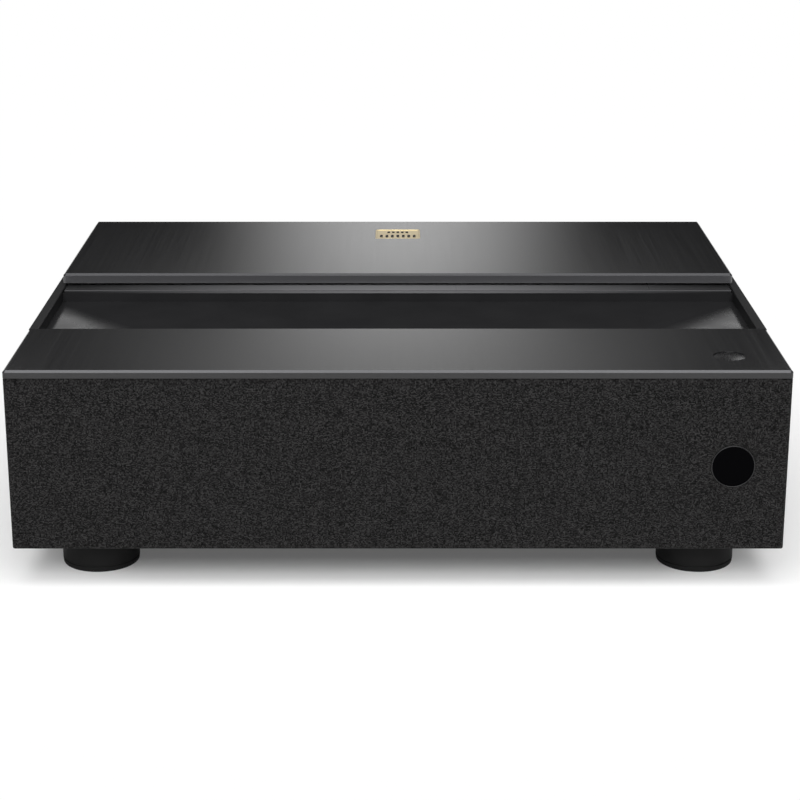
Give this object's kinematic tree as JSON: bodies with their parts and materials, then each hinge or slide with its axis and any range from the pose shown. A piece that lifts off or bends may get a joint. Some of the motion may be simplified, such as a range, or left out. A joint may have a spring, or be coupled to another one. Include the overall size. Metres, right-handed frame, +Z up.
{
  "type": "ultra short throw home projector",
  "caption": "Low black box projector with a cloth front, a light recess in its top, a motor-driven sliding cover and round feet.",
  "frame": {"origin": "on the floor, under the middle of the case, with the cover open and the front feet drawn in", "axes": "+X to the right seen from the cloth front, +Y to the back, where the light goes, +Z up"},
  "size_m": [0.5, 0.396, 0.157],
  "materials": {
    "case_plastic": "black moulded plastic with a fine grain",
    "inner_plastic": "dark moulded plastic",
    "tray_plastic": "matt black moulded plastic",
    "cloth": "dark grey woven speaker cloth",
    "brushed_plate": "black anodised, brushed front to back",
    "badge_gloss": "glossy black",
    "plaque_gold": "gold coloured, brushed",
    "window": "dark coated glass",
    "lens_glass": "coated lens glass",
    "mirror_coat": "evaporated aluminium",
    "cast_alloy": "cast light alloy",
    "bare_aluminium": "extruded, bare",
    "steel": "ground steel",
    "yoke_steel": "zinc plated sheet",
    "screw_steel": "black oxide",
    "gear_nylon": "natural acetal",
    "carriage_nylon": "black acetal",
    "circuit_board": "green laminate",
    "socket_metal": "stamped nickel-plated shell",
    "socket_plastic": "black moulded",
    "silicone": "translucent silicone",
    "foot_rubber": "black rubber",
    "foot_plastic": "black moulded",
    "fan_plastic": "black moulded",
    "phosphor": "phosphor ring on aluminium"
  },
  "bodies": {
    "case": {"bottom_chassis": "case_plastic", "front_baffle": "inner_plastic", "front_grille": "cloth", "badge_disc": "badge_gloss", "side_panel_right": "case_plastic", "side_panel_left": "case_plastic", "rear_panel": "case_plastic", "top_frame": "case_plastic", "front_top_plate": "brushed_plate", "rear_deck_plate": "brushed_plate", "light_recess_tray": "tray_plastic", "window_glass": "window", "eye_sensor_windows": "badge_gloss", "case_screws": "screw_steel", "guide_rods": "steel", "drive_yoke": "yoke_steel", "drive_motor": "steel", "limit_switches": "socket_plastic", "optical_base": "cast_alloy", "lens_barrel": "inner_plastic", "front_lens": "lens_glass", "focus_motor": "steel", "aspheric_mirror": "mirror_coat", "mirror_bracket": "cast_alloy", "laser_module": "cast_alloy", "laser_heat_sink": "bare_aluminium", "dmd_board": "circuit_board", "dmd_heat_sink": "bare_aluminium", "fan_frame_right": "fan_plastic", "fan_frame_left": "fan_plastic", "main_board": "circuit_board", "hdmi_sockets": "socket_metal", "usb_sockets": "socket_metal", "lan_socket": "socket_metal", "audio_jacks": "socket_plastic", "ac_inlet": "socket_plastic", "power_supply": "circuit_board", "speaker_right": "inner_plastic", "speaker_left": "inner_plastic", "rear_feet": "foot_rubber", "button_board": "circuit_board", "button_dome": "silicone"},
    "cover": {"sliding_cover": "brushed_plate", "cover_plaque": "plaque_gold", "cover_carriage_right": "carriage_nylon", "cover_carriage_left": "carriage_nylon"},
    "cover_shaft": {"drive_shaft": "steel", "drive_pinions": "gear_nylon", "drive_gear": "gear_nylon"},
    "motor_pinion": {"motor_gear": "gear_nylon"},
    "button": {"power_button": "brushed_plate"},
    "focus_ring": {"focus_ring": "gear_nylon"},
    "focus_pinion": {"focus_gear": "gear_nylon"},
    "phosphor_wheel": {"phosphor_wheel": "phosphor"},
    "fan_rotor_right": {"fan_rotor_right": "fan_plastic"},
    "fan_rotor_left": {"fan_rotor_left": "fan_plastic"},
    "foot_right": {"foot_pad_right": "foot_rubber"},
    "foot_left": {"foot_pad_left": "foot_rubber"},
    "foot_screw_right": {"foot_screw_right": "foot_plastic"},
    "foot_screw_left": {"foot_screw_left": "foot_plastic"}
  },
  "joints": [
    {"name": "cover_slide", "type": "slide", "parent": "case", "child": "cover", "axis": [0, -1, 0], "range_m": [0, 0.122]},
    {"name": "cover_shaft_turn", "type": "hinge", "parent": "case", "child": "cover_shaft", "pos_m": [0, 0.063, 0.11163], "axis": [1, 0, 0], "range_deg": [0, 666]},
    {"name": "motor_pinion_turn", "type": "hinge", "parent": "case", "child": "motor_pinion", "pos_m": [0.18, 0.084, 0.11163], "axis": [1, 0, 0], "range_deg": [-1665, 0]},
    {"name": "button_press", "type": "slide", "parent": "case", "child": "button", "axis": [0, 0, -1], "range_m": [0, 0.0008], "stiffness_N_per_m": 1500, "springref_m": -0.0004, "deforming": ["button_dome"]},
    {"name": "focus_ring_turn", "type": "hinge", "parent": "case", "child": "focus_ring", "pos_m": [0, -0.045, 0.078], "axis": [0, 1, 0], "range_deg": [-40, 40]},
    {"name": "focus_pinion_turn", "type": "hinge", "parent": "case", "child": "focus_pinion", "pos_m": [0.036, -0.045, 0.078], "axis": [0, 1, 0], "range_deg": [-201, 201]},
    {"name": "phosphor_wheel_spin", "type": "hinge", "parent": "case", "child": "phosphor_wheel", "pos_m": [-0.086, 0.055, 0.059], "axis": [1, 0, 0], "continuous": true},
    {"name": "fan_right_spin", "type": "hinge", "parent": "case", "child": "fan_rotor_right", "pos_m": [0.2325, 0.06, 0.073], "axis": [1, 0, 0], "continuous": true},
    {"name": "fan_left_spin", "type": "hinge", "parent": "case", "child": "fan_rotor_left", "pos_m": [-0.2325, 0.06, 0.073], "axis": [1, 0, 0], "continuous": true},
    {"name": "foot_right_height", "type": "slide", "parent": "case", "child": "foot_right", "axis": [0, 0, -1], "range_m": [0, 0.01]},
    {"name": "foot_right_screw", "type": "hinge", "parent": "foot_right", "child": "foot_screw_right", "pos_m": [0.2002, -0.1458, 0.0272], "axis": [0, 0, -1], "range_deg": [0, 2400]},
    {"name": "foot_left_height", "type": "slide", "parent": "case", "child": "foot_left", "axis": [0, 0, -1], "range_m": [0, 0.01]},
    {"name": "foot_left_screw", "type": "hinge", "parent": "foot_left", "child": "foot_screw_left", "pos_m": [-0.2002, -0.1458, 0.0272], "axis": [0, 0, -1], "range_deg": [0, 2400]}
  ],
  "couplings": [
    {"joint": "cover_shaft_turn", "follows": "cover_slide", "rad_per_m": 95.238},
    {"joint": "motor_pinion_turn", "follows": "cover_slide", "rad_per_m": -238.1},
    {"joint": "focus_pinion_turn", "follows": "focus_ring_turn", "ratio": -5},
    {"joint": "foot_right_screw", "follows": "foot_right_height", "rad_per_m": 4188.8},
    {"joint": "foot_left_screw", "follows": "foot_left_height", "rad_per_m": 4188.8}
  ]
}
